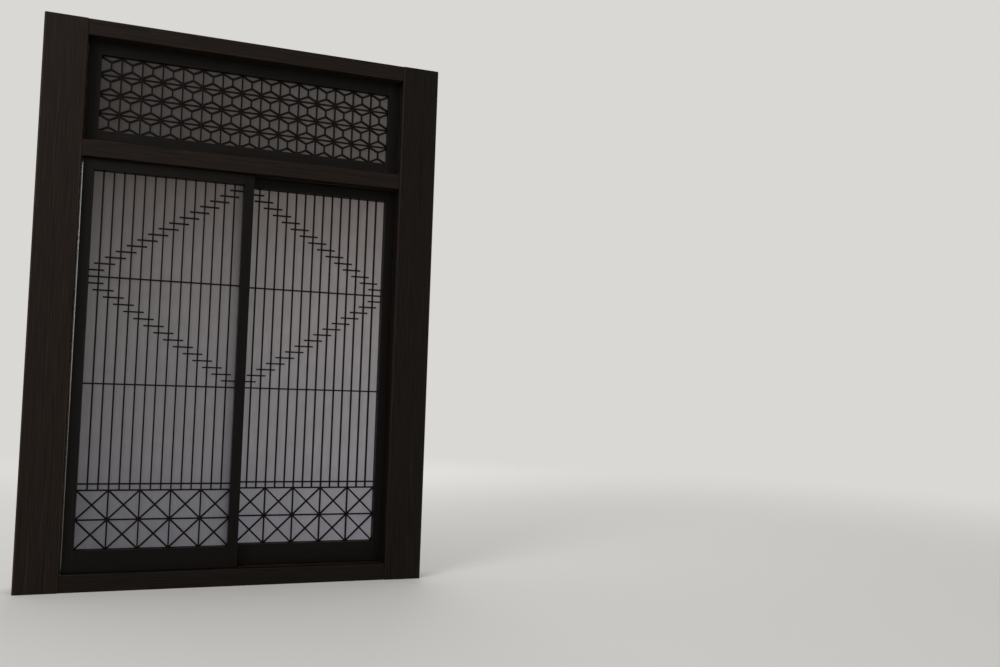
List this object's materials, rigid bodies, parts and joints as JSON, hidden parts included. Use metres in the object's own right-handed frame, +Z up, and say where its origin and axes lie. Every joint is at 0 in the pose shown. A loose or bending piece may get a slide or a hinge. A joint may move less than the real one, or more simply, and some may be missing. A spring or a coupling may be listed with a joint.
{
  "type": "shoji sliding screen",
  "caption": "Pair of sliding paper screens with a fine lattice and a half diamond each, in a dark timber frame with grooved sill and heads and a fixed lattice transom above.",
  "frame": {"origin": "middle of the frame's underside, where it stands on the floor", "axes": "+X to the right as seen from the room, +Y away from the room, +Z up"},
  "size_m": [1.051, 0.105, 1.4884],
  "materials": {
    "frame_timber": "satin",
    "screen_frame": "satin",
    "lattice_wood": "matte",
    "screen_paper": "matte",
    "transom_paper": "matte"
  },
  "bodies": {
    "frame": {"left_post": "frame_timber", "middle_head": "frame_timber", "right_post": "frame_timber", "sill": "frame_timber", "top_head": "frame_timber", "transom_bottom_rail": "screen_frame", "transom_crossbar_1": "lattice_wood", "transom_crossbar_2": "lattice_wood", "transom_crossbar_3": "lattice_wood", "transom_leaves_row_1": "lattice_wood", "transom_leaves_row_2": "lattice_wood", "transom_leaves_row_3": "lattice_wood", "transom_leaves_row_4": "lattice_wood", "transom_left_stile": "screen_frame", "transom_paper": "transom_paper", "transom_right_stile": "screen_frame", "transom_short_uprights": "lattice_wood", "transom_top_rail": "screen_frame", "transom_uprights": "lattice_wood"},
    "left_screen": {"left_back_diagonals": "lattice_wood", "left_band_middle_bar": "lattice_wood", "left_band_top_bar": "lattice_wood", "left_bottom_rail": "screen_frame", "left_double_bar": "lattice_wood", "left_front_diagonals": "lattice_wood", "left_long_upright_1": "lattice_wood", "left_long_upright_2": "lattice_wood", "left_long_upright_3": "lattice_wood", "left_long_upright_4": "lattice_wood", "left_lower_crossbar": "lattice_wood", "left_lower_ticks": "lattice_wood", "left_meeting_stile": "screen_frame", "left_outer_stile": "screen_frame", "left_paper": "screen_paper", "left_short_uprights": "lattice_wood", "left_top_rail": "screen_frame", "left_upper_crossbar": "lattice_wood", "left_upper_ticks": "lattice_wood"},
    "right_screen": {"right_back_diagonals": "lattice_wood", "right_band_middle_bar": "lattice_wood", "right_band_top_bar": "lattice_wood", "right_bottom_rail": "screen_frame", "right_double_bar": "lattice_wood", "right_front_diagonals": "lattice_wood", "right_long_upright_1": "lattice_wood", "right_long_upright_2": "lattice_wood", "right_long_upright_3": "lattice_wood", "right_long_upright_4": "lattice_wood", "right_lower_crossbar": "lattice_wood", "right_lower_ticks": "lattice_wood", "right_meeting_stile": "screen_frame", "right_outer_stile": "screen_frame", "right_paper": "screen_paper", "right_short_uprights": "lattice_wood", "right_top_rail": "screen_frame", "right_upper_crossbar": "lattice_wood", "right_upper_ticks": "lattice_wood"}
  },
  "joints": [
    {"name": "left_screen_slide", "type": "slide", "parent": "frame", "child": "left_screen", "axis": [1, 0, 0], "range_m": [-0.0027, 0.4042]},
    {"name": "right_screen_slide", "type": "slide", "parent": "frame", "child": "right_screen", "axis": [-1, 0, 0], "range_m": [0, 0.4069]}
  ]
}
